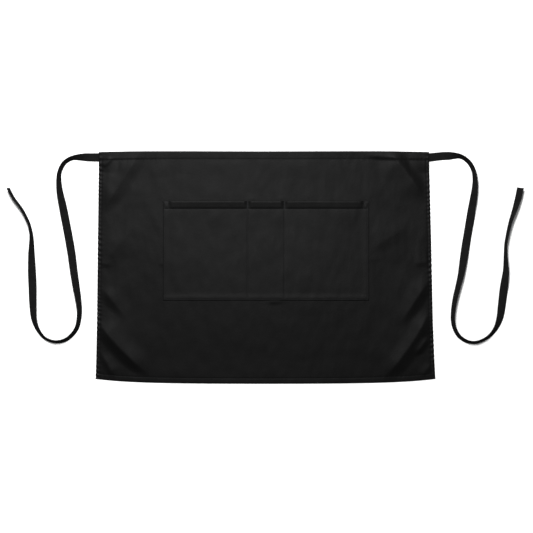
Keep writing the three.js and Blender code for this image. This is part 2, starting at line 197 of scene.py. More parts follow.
@dataclass(frozen=True)
class ApronSizes:
    """Sizes of the apron in millimetres. The panel's and the pocket's own come from the frame."""

    panel_width: float
    panel_height: float
    pocket_left: float
    pocket_bottom: float
    pocket_width: float
    pocket_height: float
    cloth: float = 1.0
    gap: float = 0.3
    top_inset_left: float = 7.0
    top_inset_right: float = 13.6
    waist_drop: float = 2.1
    waist_hump: float = 0.55
    corner_rise: float = 10.4
    corner_reach: float = 78.0
    waist_flap: float = 19.5
    hem_flap: float = 13.0
    side_flap: float = 8.0
    waist_seam: float = 16.3
    hem_seam: float = 11.0
    side_seam: float = 6.3
    layer_run: float = 48.0
    layer_lift: float = 0.65
    seat_run: float = 34.0
    centre_pocket: float = 77.0
    mouth_flap: float = 17.4
    mouth_seam: float = 16.5
    patch_seam: float = 2.4
    patch_turn: float = 10.0
    seam_seat: float = 3.0
    side_gape: float = 0.7
    centre_gape: float = 0.5
    tie_width: float = 17.2
    tie_thickness: float = 2.0
    tie_tuck: float = 18.0
    tie_inset: float = 2.3
    tie_ledge: float = 2.0
    tie_landing: float = 18.0
    fold_height: float = 8.0
    fold_reach: float = 30.0
    fold_taper: float = 0.4
    edge_calm: float = 0.85
    edge_run: float = 25.0
    pocket_calm: float = 24.0

    @classmethod
    def from_frame(cls) -> "ApronSizes":
        """Read the panel's and the pocket's boxes.

        Returns:
            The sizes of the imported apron.
        """
        low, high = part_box("main_panel")
        start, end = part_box("pocket_panel")
        spans = (high.x - low.x, high.y - low.y, start.x, start.y, end.x - start.x, end.y - start.y)
        return cls(*(span / MM for span in spans))


# How the sides draw in: shares of the height up the side, and of the inset at the waist
SIDE_LINE_UP = (0.0, 0.08, 0.25, 0.45, 0.62, 0.8, 1.0)
SIDE_LINE_INSET = (0.0, 0.16, 0.4, 0.55, 0.67, 0.83, 1.0)


@dataclass(frozen=True)
class Spots:
    """Points on a flat sheet of cloth, in millimetres.

    Attributes:
        across: Distance of each from the sheet's left side.
        up: Distance of each from its lower edge.
        width: The sheet's width.
        height: The sheet's height.
    """

    across: Array
    up: Array
    width: float
    height: float

    @property
    def side(self) -> Array:
        """Distance of each from the nearer side."""
        return np.minimum(self.across, self.width - self.across)

    @property
    def down(self) -> Array:
        """Distance of each from the upper edge."""
        return self.height - self.up


class ClothForm:
    """A sheet of cloth, from places on its own plane to its shape in space."""

    seam_width = 2.4

    def __init__(self, sizes: ApronSizes, width: float, height: float) -> None:
        """Keep the apron's sizes and the sheet's own."""
        self.sizes = sizes
        self.width = width
        self.height = height

    def spots(self, across: Array, up: Array) -> Spots:
        """Points of this sheet at distances across and up."""
        return Spots(across, up, self.width, self.height)

    def top(self, at: Spots) -> Place:
        """X, Y and Z of the upper face in millimetres, which each sheet works out for itself."""
        raise NotImplementedError

    def points(self, across: Array, up: Array) -> Array:
        """Points of the upper face, with X, Y and Z along the last axis."""
        return np.stack(np.broadcast_arrays(*self.top(self.spots(across, up))), axis=-1)


class PanelForm(ClothForm):
    """The panel's outline and the height of its upper face."""

    edge_roll = 1.3
    seam_depth = 0.26
    band_rise = 0.75
    band_step = 0.26
    tie_pull = 2.2
    pull_run = (45.0, 150.0)
    pucker_pitch = 9.6
    pucker_height = 0.8
    left_phase = 0.4
    right_phase = 2.1
    edge_wave = 0.4
    wave_reach = 6.0
    least_height = 0.3
    least_rise = 0.65
    least_run = 0.6

    def __init__(self, sizes: ApronSizes) -> None:
        """Keep the sizes that the form follows."""
        super().__init__(sizes, sizes.panel_width, sizes.panel_height)

    def outline(self, at: Spots) -> tuple[Array, Array]:
        """Lay the flat cloth out in plan.

        Args:
            at: Points of the panel.

        Returns:
            X and Y of each.
        """
        s = self.sizes
        share = at.up / at.height
        inset = np.interp(share, SIDE_LINE_UP, SIDE_LINE_INSET)
        left = -at.width / 2 + s.top_inset_left * inset
        right = at.width / 2 - s.top_inset_right * inset
        aside = 2 * at.across / at.width - 1
        hump = (aside**2 - s.waist_hump**2) / (1 - s.waist_hump**2)
        top = at.height / 2 - s.waist_drop * hump**2
        bottom = -at.height / 2 + s.corner_rise * np.exp(-at.side / s.corner_reach)
        return left + (right - left) * at.across / at.width, bottom + (top - bottom) * share

    def ridges(self, folds: Sequence[Fold], x: Array, y: Array) -> Array:
        """Add up folds.

        Args:
            folds: The folds.
            x: X of each point.
            y: Y of each point.

        Returns:
            Their height at each point.
        """
        s = self.sizes
        half = np.array([self.width / 2, self.height / 2])
        total = np.zeros_like(x)
        for fold in folds:
            start = np.array(fold.start) * half
            run = np.array(fold.end) * half - start
            length = float(np.hypot(*run))
            along = run / length
            share = ((x - start[0]) * along[0] + (y - start[1]) * along[1]) / length
            leftward = (y - start[1]) * along[0] - (x - start[0]) * along[1]
            leftward = leftward / s.fold_reach - 4 * fold.bow * share * (1 - share)
            fade = smoothstep(share, 0, fold.fades[0]) * (1 - smoothstep(share, 1 - fold.fades[1], 1))
            reach = np.where(leftward > 0, *fold.reach) * (1 - s.fold_taper * (1 - fade))
            aside = np.clip(np.abs(leftward) / reach, 0, 1)
            total += fold.height * s.fold_height * fade * (1 - aside) ** 2 * (1 + aside)
        return total

    def edge(self, at: Spots) -> Array:
        """Distance from the nearest of the four edges."""
        return np.minimum.reduce([at.side, at.up, at.down])

    def tie_seat(self, at: Spots) -> Array:
        """1 where a tie's end is sewn in, falling to 0 away from it."""
        s = self.sizes
        beside = falling(at.side, s.tie_tuck + s.tie_ledge, s.seat_run)
        return beside * falling(at.down, s.tie_inset + s.tie_width + s.tie_ledge, s.seat_run)

    def base(self, at: Spots) -> Array:
        """Lift the lowest layer off the surface with the corner folds, which die out at the pocket.

        Args:
            at: Points of the panel.

        Returns:
            Height of the lowest layer's underside.
        """
        s = self.sizes
        x, y = self.outline(at)
        dx = np.maximum(s.pocket_left - x, x - s.pocket_left - s.pocket_width)
        dy = np.maximum(s.pocket_bottom - y, y - s.pocket_bottom - s.pocket_height)
        free = smoothstep(np.hypot(np.maximum(dx, 0), np.maximum(dy, 0)), 0.6, s.pocket_calm)
        calm = s.edge_calm + (1 - s.edge_calm) * smoothstep(self.edge(at), 0, s.edge_run)
        return self.ridges(CORNER_FOLDS, x, y) * free * calm * (1 - self.tie_seat(at))

    def lift(self, at: Spots) -> Array:
        """Height of the panel over its lowest layer, which it gains over the flaps and the ties' ends."""
        s = self.sizes
        over = ((at.side, s.side_flap), (at.up, s.hem_flap), (at.down, s.waist_flap))
        flaps = np.maximum.reduce([falling(d, flap, s.layer_run) for d, flap in over])
        return np.maximum(s.layer_lift * flaps, (s.layer_lift + s.tie_thickness) * self.tie_seat(at))

    def seams(self, at: Spots) -> Array:
        """Dent the cloth along the stitch lines, less along the waist and the hem.

        Args:
            at: Points of the panel.

        Returns:
            Depth of the dents.
        """
        s = self.sizes
        waist = 0.4 * groove(at.down - s.waist_seam, self.seam_width)
        hem = 0.8 * groove(at.up - s.hem_seam, self.seam_width)
        sides = groove(at.side - s.side_seam, self.seam_width)
        sides *= smoothstep(at.down, s.waist_seam - 2, s.waist_seam)
        sides *= smoothstep(at.up, s.hem_seam - 2, s.hem_seam)
        return self.seam_depth * np.maximum.reduce([waist, hem, sides])

    def waistband(self, at: Spots) -> Array:
        """Height that the waistband's layers add, more towards the ties."""
        seam = self.sizes.waist_seam
        pull = 1 + self.tie_pull * (1 - smoothstep(at.side, *self.pull_run))
        step = self.band_step * pull * (1 - smoothstep(at.down, seam - 1.2, seam + 1.8))
        return step + self.band_rise * np.clip((seam - at.down) / seam, 0, 1)

    def gathers(self, along: Array, phase: float) -> Array:
        """Uneven ripples along a gathered seam, from -1 to 1, which the phase shifts from seam to seam."""
        wander = 1.9 * np.sin(along / 31 + phase) + 1.1 * np.sin(along / 13.7 + 2 * phase)
        size = 0.62 + 0.38 * np.sin(along / 23.3 + 5 * phase)
        return np.sin(2 * math.pi / self.pucker_pitch * along + wander) * size

    def puckers(self, at: Spots) -> Array:
        """Gather up small ripples along the side seams, and weaker ones along the hem and the waist.

        Args:
            at: Points of the panel.

        Returns:
            Height of the ripples.
        """
        s = self.sizes
        # Distance from the edge and along it, middle and reach of the ripples, strength and phase
        rows = (
            (at.across, at.up, 3.0, 4.6, 1.0, self.left_phase),
            (at.width - at.across, at.up, 3.0, 4.6, 1.0, self.right_phase),
            (at.up, at.across, s.hem_seam, 5.5, 0.25, 1.3),
            (at.down, at.across, s.waist_seam, 5.5, 0.2, 3.2),
        )
        total = np.zeros_like(at.across)
        for distance, along, middle, reach, strength, phase in rows:
            spread = np.exp(-(((distance - middle) / reach) ** 2))
            total += strength * self.gathers(along, phase) * spread
        return self.pucker_height * total

    def waver(self, at: Spots) -> Array:
        """How far the wandering of the gathered side edges moves each point to the right."""
        sides = ((at.across, self.left_phase), (at.width - at.across, self.right_phase))
        left, right = [self.gathers(at.up, p) * np.exp(-((d / self.wave_reach) ** 2)) for d, p in sides]
        return self.edge_wave * (right - left)

    def top(self, at: Spots) -> Place:
        """Shape the upper face of the panel.

        Args:
            at: Points of the panel.

        Returns:
            X, Y and Z in millimetres.
        """
        x, y = self.outline(at)
        x = x + self.waver(at)
        edge = self.edge(at)
        height = self.base(at) + self.lift(at) + self.sizes.cloth
        height += self.ridges(SMALL_CREASES, x, y) + self.puckers(at)
        height += smoothstep(edge, 4, 30) * swells(x, y)
        height += self.waistband(at) - self.seams(at)
        height -= self.edge_roll * (1 - rounding(edge, self.edge_roll))
        # No edge sinks so far that the cloth's back would pass below the surface
        least = self.least_height + self.least_rise * rounding(edge, self.least_run)
        return x, y, np.maximum(height, least)


class PatchForm(ClothForm):
    """The pocket patch: the height of its upper face over its own plane."""

    edge_roll = 1.6
    seam_depth = 0.3
    tack_half = 2.2
    corner_box = 12.0
    held_run = 3.0
    allowance_rise = 0.55
    mouth_rise = 2.2
    mouth_step = 0.2
    mouth_crest = 1.7
    mouth_brim = 1.2
    box_pillow = 0.5

    def __init__(self, sizes: ApronSizes) -> None:
        """Keep the sizes, and work out where the dividers are."""
        super().__init__(sizes, sizes.pocket_width, sizes.pocket_height)
        side = (sizes.pocket_width - sizes.centre_pocket) / 2
        self.dividers = (side, side + sizes.centre_pocket)

    def gape(self, at: Spots) -> Array:
        """Stand the patch off the panel between its seams, more towards the mouth.

        Args:
            at: Points of the patch.

        Returns:
            Height of the patch over its seams.
        """
        s = self.sizes
        edges = (0.0, *self.dividers, at.width)
        total = np.zeros_like(at.across)
        for start, end, gape in zip(edges, edges[1:], (s.side_gape, s.centre_gape, s.side_gape)):
            clear = end - start - 2 * s.seam_seat
            total += gape * np.sin(math.pi * np.clip((at.across - start - s.seam_seat) / clear, 0, 1))
        rise = np.clip((at.up - s.seam_seat) / (at.height - s.seam_seat), 0, 1)
        return total * np.sin(math.pi / 2 * rise)

    def held(self, at: Spots) -> Array:
        """1 where a corner box or a bartack holds the mouth down, falling to 0 beside it."""
        places = [(at.side, self.corner_box)]
        places.extend((np.abs(at.across - divider), self.tack_half) for divider in self.dividers)
        return np.maximum.reduce([falling(d, half, self.held_run) for d, half in places])

    def up_band(self, at: Spots) -> Array:
        """Share of the way up the turned band, from its stitch line to the crest beside the mouth."""
        seam = self.sizes.mouth_seam
        return np.clip((seam - at.down) / (seam - self.mouth_crest), 0, 1)

    def mouth_band(self, at: Spots) -> Array:
        """Height that the turned band adds, with a small step at its stitch line."""
        step = smoothstep(self.sizes.mouth_seam - at.down, 0, 2)
        climb = (1 - self.mouth_step) * self.up_band(at) + self.mouth_step * step
        return self.mouth_rise * climb * (1 - self.held(at))

    def pillows(self, at: Spots) -> Array:
        """Height of the swellings inside the crossed boxes in the mouth's corners."""
        seam = self.sizes.patch_seam
        in_box = np.clip((at.side - seam) / (self.corner_box - seam), 0, 1)
        return self.box_pillow * np.sin(math.pi * in_box) * np.sin(math.pi * self.up_band(at))

    def seams(self, at: Spots) -> Array:
        """Dent the cloth along the stitch lines, most along the dividers.

        Args:
            at: Points of the patch.

        Returns:
            Depth of the dents.
        """
        s = self.sizes
        patch = 0.5 * groove(np.minimum(at.side, at.up) - s.patch_seam, self.seam_width)
        mouth = (0.1 + 0.5 * self.held(at)) * groove(at.down - s.mouth_seam, self.seam_width)
        dividers = [groove(at.across - divider, self.seam_width) for divider in self.dividers]
        box = 0.7 * groove(at.side - self.corner_box, self.seam_width)
        box *= smoothstep(s.mouth_seam - at.down, -1, 1)
        return self.seam_depth * np.maximum.reduce([patch, mouth, box, *dividers])

    def top(self, at: Spots) -> Place:
        """Shape the upper face of the patch.

        Args:
            at: Points of the patch.

        Returns:
            X, Y and Z in millimetres.
        """
        s = self.sizes
        x, y = s.pocket_left + at.across, s.pocket_bottom + at.up
        edge = np.minimum(at.side, at.up)
        flap = s.layer_lift * falling(at.down, s.mouth_flap, s.layer_run)
        turned = np.maximum(0.45 * falling(at.side, 4, 11), falling(at.up, 4, 12))
        height = 2 * s.cloth + s.gap + self.gape(at) + flap + self.allowance_rise * turned
        height += self.mouth_band(at) + self.pillows(at) - self.seams(at)
        height += smoothstep(edge, 4, 30) * swells(x, y)
        height -= self.edge_roll * (1 - rounding(edge, self.edge_roll))
        height -= self.mouth_brim * (1 - rounding(at.down, self.mouth_crest))
        return x, y, height


# Each point of a tie's route is its distance out from the panel's side, its distance down from the line in
# which the tie is sewn, and the degrees that the tape has rolled about its own length
LEFT_ROUTE = (
    (21, 0, 0), (31, 0, -28), (42, 0.5, -47), (52.5, 1.5, -63), (63, 5.5, -69), (73, 14, -69),
    (81, 30.5, -69), (82.8, 47.5, -62), (81.5, 68, -50), (78.7, 85, -36), (75.3, 102, -24),
    (69.2, 135, -9), (62.8, 169, -6), (57, 202, -16), (52.3, 236, -28), (47.2, 269, -38),
    (41.6, 303, -53), (39.8, 328, -62), (43.9, 353, -66), (52.6, 368, -67), (67, 380.5, -67),
    (83.8, 385.4, -67), (99.5, 383.8, -66), (115.2, 375.3, -62), (128, 357.5, -52),
    (135.3, 336, -37), (137.9, 303, -16), (138.8, 269, 2), (139.6, 236, 26),
    (140, 202, 49), (139.6, 169, 72), (141.9, 152, 78), (146.9, 135, 80),
    (159.5, 110, 80), (177.8, 85, 79), (188.5, 64.7, 79),
)

RIGHT_ROUTE = (
    (27.5, -2.5, 5), (40, -2.8, 16), (52.5, -2.8, 44), (64, -1.5, 64), (74, 3.5, 69),
    (84.5, 13.5, 69), (92.2, 29, 69), (95.2, 48, 62), (94.5, 68, 50), (92, 88, 36), (88.5, 110, 25),
    (83.5, 144, 8), (77.9, 177, 7), (72.1, 210.5, 27), (66.3, 244, 46), (60.1, 269, 57),
    (53.8, 294, 62), (49.5, 319.5, 67), (48.8, 341, 69), (53, 359, 69), (62.5, 374.5, 68),
    (77.6, 384.5, 68), (94, 387, 67), (109.5, 383, 64), (125, 373.5, 59), (138.5, 357.5, 47),
    (147.5, 336, 24), (152, 311, 4), (154.8, 286, -6), (157.3, 261, -33), (159.6, 236, -56),
    (158.9, 206, -74), (159.2, 183, -80), (163, 160.5, -79), (169.2, 135, -74), (178, 110, -62),
    (185.6, 85, -49), (190.2, 64, -44),
)


def srgb(colour: str) -> tuple[float, float, float, float]:
    """Turn an sRGB hex colour into the linear one that shaders use.

    Args:
        colour: Six hex digits, with or without a leading #.

    Returns:
        Linear red, green, blue and alpha.
    """
    digits = colour.lstrip("#")
    parts = [int(digits[k : k + 2], 16) / 255 for k in (0, 2, 4)]
    linear = [c / 12.92 if c <= 0.04045 else ((c + 0.055) / 1.055) ** 2.4 for c in parts]
    return (*linear, 1.0)


def add_node(tree: bpy.types.NodeTree, kind: str, settings: dict[str, Any], **inputs: Any) -> bpy.types.Node:
    """Add a node with its settings, values and links.

    Args:
        tree: The tree that gets the node.
        kind: The node's type.
        settings: Its properties by name.
        **inputs: Values or output sockets, by the input's name with spaces written as _, or by i and its
            number.

    Returns:
        The new node.
    """
    node = tree.nodes.new(kind)
    for name, value in settings.items():
        setattr(node, name, value)
    for name, value in inputs.items():
        key: str | int = int(name[1:]) if name[0] == "i" and name[1:].isdigit() else name.replace("_", " ")
        if isinstance(value, Socket):
            tree.links.new(value, node.inputs[key])
        else:
            node.inputs[key].default_value = value
    return node


class FinishTree:
    """A new material and its nodes."""

    def __init__(self, name: str) -> None:
        """Start the material with an empty tree."""
        self.material = bpy.data.materials.new(name)
        self.material.use_nodes = True
        self.tree = self.material.node_tree
        self.tree.nodes.clear()

    def add(self, kind: str, output: int | str, **inputs: Any) -> Socket:
        """Add a node that needs no settings, and hand on one of its outputs."""
        return add_node(self.tree, f"ShaderNode{kind}", {}, **inputs).outputs[output]

    def noise(self, place: Socket, size: float, detail: float = 1.0, roughness: float = 0.5) -> Socket:
        """Add a noise whose coarsest spots have a real size in metres."""
        return self.add("TexNoise", "Fac", Vector=place, Scale=1 / size, Detail=detail, Roughness=roughness)

    def total(self, *parts: tuple[Socket, float]) -> Socket:
        """Add up values.

        Args:
            *parts: Each value's socket, and the weight that it is multiplied by.

        Returns:
            The socket of the sum.
        """
        found: Any = 0.0
        for value, weight in parts:
            found = add_node(
                self.tree, "ShaderNodeMath", {"operation": "MULTIPLY_ADD"}, i0=value, i1=weight, i2=found
            ).outputs[0]
        return found

    def blend(self, share: Socket, deep: str, face: str) -> Socket:
        """Blend two hex colours by a share."""
        settings = {"data_type": "RGBA"}
        mix = add_node(self.tree, "ShaderNodeMix", settings, Factor=share, i6=srgb(deep), i7=srgb(face))
        return mix.outputs[2]

    def finish(self, **inputs: Any) -> bpy.types.Material:
        """Close the tree with a principled shader that has these inputs, and hand on the material."""
        shader = self.add("BsdfPrincipled", 0, **inputs)
        add_node(self.tree, "ShaderNodeOutputMaterial", {}, Surface=shader)
        return self.material


@dataclass(frozen=True)
class WovenTwill:
    """Piece-dyed black cotton and polyester twill: a matt face with fine slanting ribs and a soft sheen.

    The ribs are drawn 1.5 mm apart, about twice as coarse as the real ones, so that they show at all.
    """

    name: str = "black_cotton_polyester_twill"
    deep: str = "#020202"
    face: str = "#050505"
    rib_pitch: float = 1.5 * MM
    rib_slant: float = math.radians(63)
    rib_weight: float = 0.45
    yarn: float = 1.35 * MM
    mottle: float = 26 * MM
    roughness: float = 0.5
    specular: float = 0.072
    rib_depth: float = 0.12
    slub: float = 3.6 * MM
    slub_depth: float = 0.1
    mottle_depth: float = 1.1
    coordinate: str = "Object"

    def build(self) -> bpy.types.Material:
        """Make the material.

        Returns:
            The finished material.
        """
        tree = FinishTree(self.name)
        place = tree.add("TexCoord", self.coordinate)
        turned = tree.add("Mapping", 0, Vector=place, Rotation=(0, 0, self.rib_slant))
        # A wave texture repeats every 2 pi / 20 units at scale 1
        ribs = tree.add(
            "TexWave", "Fac", Vector=turned, Scale=2 * math.pi / (20 * self.rib_pitch), Distortion=0.8,
            Detail=1.0, Detail_Scale=1.5,
        )
        # The light comes from one end, so relief that is drawn out lengthwise looks even both ways
        drawn = tree.add("Mapping", 0, Vector=place, Scale=(1.0, 0.55, 1.0))
        yarn = tree.noise(place, self.yarn, detail=2.0, roughness=0.6)
        cloud = tree.noise(drawn, self.mottle, roughness=0.45)
        slub = tree.noise(place, self.slub)
        grain = tree.total((ribs, self.rib_weight), (yarn, 0.5))
        shade = tree.total((grain, 1.0), (cloud, 0.5))
        relief = tree.total((grain, self.rib_depth), (slub, self.slub_depth), (cloud, self.mottle_depth))
        share = tree.add("MapRange", 0, Value=shade, From_Min=0.35, From_Max=1.05)
        dull = tree.add(
            "MapRange", 0, Value=shade, From_Min=0.3, From_Max=1.1, To_Min=self.roughness + 0.06,
            To_Max=self.roughness - 0.05,
        )
        bump = tree.add("Bump", 0, Height=relief, Strength=1.0, Distance=MM)
        return tree.finish(
            Base_Color=tree.blend(share, self.deep, self.face), Roughness=dull, Normal=bump,
            Specular_IOR_Level=self.specular,
        )


@dataclass(frozen=True)
class SewingThread:
    """Black spun polyester sewing thread: two plies, dull, of a colour a little lighter than the cloth's,
    partly its own and partly painted sheen that stands in for the thread's glint.
    """

    name: str = "black_thread_with_painted_sheen"
    # Both colours are the thread's own dark grey plus painted sheen: they are lighter than the thread, to
    # stand in for the glint of its plies
    deep: str = "#141415"
    face: str = "#2a2b2c"
    ply: float = 0.5 * MM
    roughness: float = 0.6
    specular: float = 0.05

    def build(self) -> bpy.types.Material:
        """Make the material.

        Returns:
            The finished material.
        """
        tree = FinishTree(self.name)
        plies = tree.noise(tree.add("TexCoord", "Object"), self.ply)
        bump = tree.add("Bump", 0, Height=plies, Strength=0.4, Distance=0.1 * MM)
        return tree.finish(
            Base_Color=tree.blend(plies, self.deep, self.face), Normal=bump, Roughness=self.roughness,
            Specular_IOR_Level=self.specular,
        )


@dataclass(frozen=True)
class PaintedTable:
    """Smooth white painted surface, matt, which keeps the shadows under the apron soft and plain."""

    name: str = "matt_white_table"
    colour: str = "#f4f4f4"
    roughness: float = 0.9
    specular: float = 0.1

    def build(self) -> bpy.types.Material:
        """Make the material."""
        tree = FinishTree(self.name)
        colour = srgb(self.colour)
        return tree.finish(Base_Color=colour, Roughness=self.roughness, Specular_IOR_Level=self.specular)


def shaped_grid(name: str, points: Array, places: Array) -> Piece:
    """Add a grid, move its vertices, and lay its UV map out at real size.

    Args:
        name: The piece's name.
        points: X, Y and Z of each vertex in millimetres, by row, column and axis.
        places: U and V of each in millimetres, by row, column and axis.

    Returns:
        The new piece.
    """
    rows, columns = points.shape[:2]
    bpy.ops.object.select_all(action="DESELECT")
    bpy.ops.mesh.primitive_grid_add(x_subdivisions=columns - 1, y_subdivisions=rows - 1, size=1)
    piece = bpy.context.object
    piece.name = name
    piece.data.name = name
    piece.data.vertices.foreach_set("co", (points * MM).astype(np.float32).ravel())
    piece.data.update()
    corners = np.zeros(len(piece.data.loops), np.int32)
    piece.data.loops.foreach_get("vertex_index", corners)
    spread = (places.reshape(-1, 2)[corners] * MM).astype(np.float32)
    piece.data.uv_layers.active.data.foreach_set("uv", spread.ravel())
    return piece


def cloth_sheet(
    name: str, columns: Array, rows: Array, points: Callable[[Array, Array], Array], thickness: float
) -> Piece:
    """Model a sheet of cloth from a grid, and give it its thickness downwards.

    Args:
        name: The piece's name.
        columns: Distances across the cloth.
        rows: Distances up the cloth.
        points: Gives the points of its upper face.
        thickness: Thickness of the cloth in millimetres.

    Returns:
        The finished piece.
    """
    across, up = np.meshgrid(columns, rows)
    piece = shaped_grid(name, points(across, up), np.stack([across, up], axis=-1))
    bpy.ops.object.modifier_add(type="SOLIDIFY")
    wall = piece.modifiers[-1]
    wall.thickness = thickness * MM
    wall.offset = -1
    bpy.ops.object.modifier_apply(modifier=wall.name)
    bpy.ops.object.shade_smooth_by_angle(angle=math.radians(60))
    return piece


def lofted(name: str, rings: Array, along: Array, section: Array, girth: float) -> Piece:
    """Model a closed body through rings of points.

    Args:
        name: The piece's name.
        rings: Rings of points in millimetres, by ring, point and axis, with each ring left open.
        along: Distance of each ring along the body.
        section: The flat outline that every ring has.
        girth: Distance round it.

    Returns:
        The finished piece.
    """
    around = np.concatenate([[0], np.cumsum(np.hypot(*np.diff(section, axis=0).T)), [girth]])
    closed = np.concatenate([rings, rings[:, :1]], axis=1)
    piece = shaped_grid(name, closed, np.stack(np.meshgrid(along, around, indexing="ij"), axis=-1))
    bpy.ops.object.mode_set(mode="EDIT")
    bpy.ops.mesh.select_all(action="SELECT")
    bpy.ops.mesh.remove_doubles(threshold=1e-6)
    bpy.ops.mesh.select_all(action="DESELECT")
    bpy.ops.mesh.select_mode(type="EDGE")
    bpy.ops.mesh.select_non_manifold()
    bpy.ops.mesh.fill()
    bpy.ops.mesh.select_all(action="SELECT")
    bpy.ops.mesh.normals_make_consistent(inside=False)
    bpy.ops.mesh.select_mode(type="VERT")
    bpy.ops.object.mode_set(mode="OBJECT")
    bpy.ops.object.shade_smooth_by_angle(angle=math.radians(50))
    return piece


class Stitches:
    """Rows of single stitches, each a small grain of thread."""

    pitch = 3.0
    length = 2.3
    thread = 0.5
    flatness = 0.8
    proud = 0.06

    def __init__(self) -> None:
        """Model one stitch along X, and keep its points and faces."""
        bpy.ops.object.select_all(action="DESELECT")
        bpy.ops.mesh.primitive_uv_sphere_add(segments=6, ring_count=4, radius=0.5)
        grain = bpy.context.object
        self.points = np.array([(v.co.z, v.co.x, v.co.y) for v in grain.data.vertices])
        self.faces = [tuple(face.vertices) for face in grain.data.polygons]
        bpy.data.objects.remove(grain)

    def row(self, centres: Array, headings: Array, normals: Array, length: float) -> Array:
        """Place copies of the stitch.

        Args:
            centres: Middle of each stitch in millimetres.
            headings: Direction of each stitch, or of all.
            normals: Direction out of the cloth at each stitch, or at all.
            length: Length of a stitch.

        Returns:
            The points of all copies.
        """
        headings, normals, _ = np.broadcast_arrays(headings, normals, centres)
        headings = headings / np.linalg.norm(headings, axis=1, keepdims=True)
        sideways = np.cross(normals, headings)
        sideways /= np.linalg.norm(sideways, axis=1, keepdims=True)
        axes = np.stack([headings, sideways, np.cross(headings, sideways)], axis=1)
        sized = self.points * np.array([length, self.thread, self.thread * self.flatness])
        return (np.einsum("pk,nkx->npx", sized, axes) + centres[:, None]).reshape(-1, 3)

    def piece(self, name: str, rows: Sequence[Array]) -> Piece:
        """Join rows of stitches into one piece.

        Args:
            name: The piece's name.
            rows: Points of each row's copies.

        Returns:
            The finished piece.
        """
        points = np.concatenate(rows) * MM
        step = len(self.points)
        starts = range(0, len(points), step)
        faces = [tuple(v + start for v in face) for start in starts for face in self.faces]
        mesh = bpy.data.meshes.new(name)
        mesh.from_pydata(points.tolist(), [], faces)
        piece = bpy.data.objects.new(name, mesh)
        bpy.context.scene.collection.objects.link(piece)
        bpy.ops.object.select_all(action="DESELECT")
        piece.select_set(True)
        bpy.context.view_layer.objects.active = piece
        bpy.ops.object.shade_smooth()
        return piece

    def seam(self, form: ClothForm, start: tuple[float, float], end: tuple[float, float]) -> Array:
        """Stitch a straight seam over a sheet.

        Args:
            form: The sheet's form.
            start: Where the seam starts, across and up.
            end: Where it ends.

        Returns:
            The points of the seam's stitches.
        """
        run = np.array(end, float) - np.array(start, float)
        length = float(np.hypot(*run))
        count = max(1, round(length / self.pitch))
        shares = (np.arange(count) + 0.5) / count
        half = 0.5 * self.length / length
        tail, head = [
            form.points(start[0] + run[0] * (shares + shift), start[1] + run[1] * (shares + shift))
            for shift in (-half, half)
        ]
        return self.row((tail + head) / 2 + UPWARD * self.proud, head - tail, UPWARD, self.length)


class Dresser:
    """Gives finished pieces their material, body and stand-in."""

    def __init__(self) -> None:
        """Build the finishes that the pieces share, and the maker of their stitches."""
        self.twill = WovenTwill().build()
        # The patch looks a little lighter than the panel around it, so its gloss is a bit higher
        self.patch_twill = WovenTwill(name="black_twill_of_pocket", specular=0.082).build()
        self.tape = WovenTwill(
            name="black_twill_tape", deep="#0d0d0d", face="#191919", specular=0.0, coordinate="UV",
            mottle=9 * MM,
        ).build()
        self.thread = SewingThread().build()
        self.stitcher = Stitches()

    def dress(self, piece: Piece, material: bpy.types.Material, slot: str, *nodes: str) -> Piece:
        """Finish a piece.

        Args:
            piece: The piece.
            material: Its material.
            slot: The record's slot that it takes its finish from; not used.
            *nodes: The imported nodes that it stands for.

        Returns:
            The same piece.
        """
        piece.data.materials.clear()
        piece.data.materials.append(material)
        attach(piece, "root")
        if nodes:
            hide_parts(*nodes)
        LOG.info("%s: %d faces", piece.name, len(piece.data.polygons))
        return piece

    def dress_cloth(self, piece: Piece, node: str) -> Piece:
        """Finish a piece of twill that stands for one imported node, and hand it on."""
        return self.dress(piece, self.twill, "twill_cloth", node)

    def sew(self, name: str, rows: Sequence[Array]) -> None:
        """Make a finished piece of rows of stitches."""
        self.dress(self.stitcher.piece(name, rows), self.thread, "sewing_thread")

    def sew_lines(self, form: ClothForm, seams: dict[str, Sequence[Line]]) -> None:
        """Sew straight seams over a sheet: a piece for each name, with a row of stitches for each line."""
        for name, lines in seams.items():
            self.sew(name, [self.stitcher.seam(form, *line) for line in lines])


